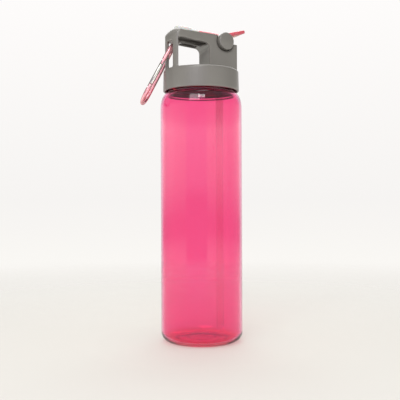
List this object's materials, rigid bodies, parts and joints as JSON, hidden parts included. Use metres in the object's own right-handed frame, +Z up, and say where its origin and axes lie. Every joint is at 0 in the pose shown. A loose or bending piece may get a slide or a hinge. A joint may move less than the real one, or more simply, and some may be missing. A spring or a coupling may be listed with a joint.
{
  "type": "sports drinking bottle",
  "caption": "Slim clear pink drinking bottle with a grey screw lid, carry handle, flip spout with thumb tab, inner straw and a hanging spring-gate carabiner.",
  "frame": {"origin": "middle of the base, on the surface that the bottle stands on", "axes": "+Z up the bottle's axis, +X along the handle to the spout and thumb tab, +Y to the flank with the clip's post"},
  "size_m": [0.0958, 0.07, 0.2724],
  "materials": {
    "bottle_clear": "clear tinted copolyester, glossy",
    "lid_grey": "satin moulded polypropylene",
    "soft_milky": "milky silicone",
    "straw_clear": "frosted tube",
    "spout_pink": "satin moulded plastic",
    "clip_pink": "pink anodised",
    "polished_steel": "polished"
  },
  "bodies": {
    "bottle": {"bottle_body": "bottle_clear"},
    "lid_seal": {"lid_gasket": "soft_milky"},
    "lid": {"lid": "lid_grey", "vent_valve": "soft_milky", "spout_seal": "soft_milky", "straw": "straw_clear"},
    "spout": {"flip_spout": "spout_pink", "mouthpiece": "soft_milky", "pivot_cap_front": "lid_grey", "pivot_cap_rear": "lid_grey"},
    "clip": {"carabiner_frame": "clip_pink", "gate_rivet": "polished_steel"},
    "gate": {"carabiner_gate": "polished_steel", "latch_pin": "polished_steel", "gate_plunger": "polished_steel", "gate_spring": "polished_steel"}
  },
  "joints": [
    {"name": "lid_lift", "type": "slide", "parent": "bottle", "child": "lid_seal", "axis": [0, 0, 1], "range_m": [0, 0.226]},
    {"name": "lid_turn", "type": "hinge", "parent": "lid_seal", "child": "lid", "pos_m": [0, 0, 0.232], "axis": [0, 0, 1], "range_deg": [0, 540]},
    {"name": "spout_flip", "type": "hinge", "parent": "lid", "child": "spout", "pos_m": [0.017, 0, 0.2576], "axis": [0, 1, 0], "range_deg": [0, 70]},
    {"name": "clip_swing", "type": "hinge", "parent": "lid", "child": "clip", "pos_m": [-0.02841, 0.00627, 0.24546], "axis": [0.5592, 0.829, 0], "range_deg": [0, 60]},
    {"name": "gate_open", "type": "hinge", "parent": "clip", "child": "gate", "pos_m": [-0.03718, 0.00257, 0.23579], "axis": [0.7299, -0.4924, -0.4741], "range_deg": [0, 20], "stiffness_Nm_per_rad": 0.02, "springref_deg": -17.19}
  ]
}
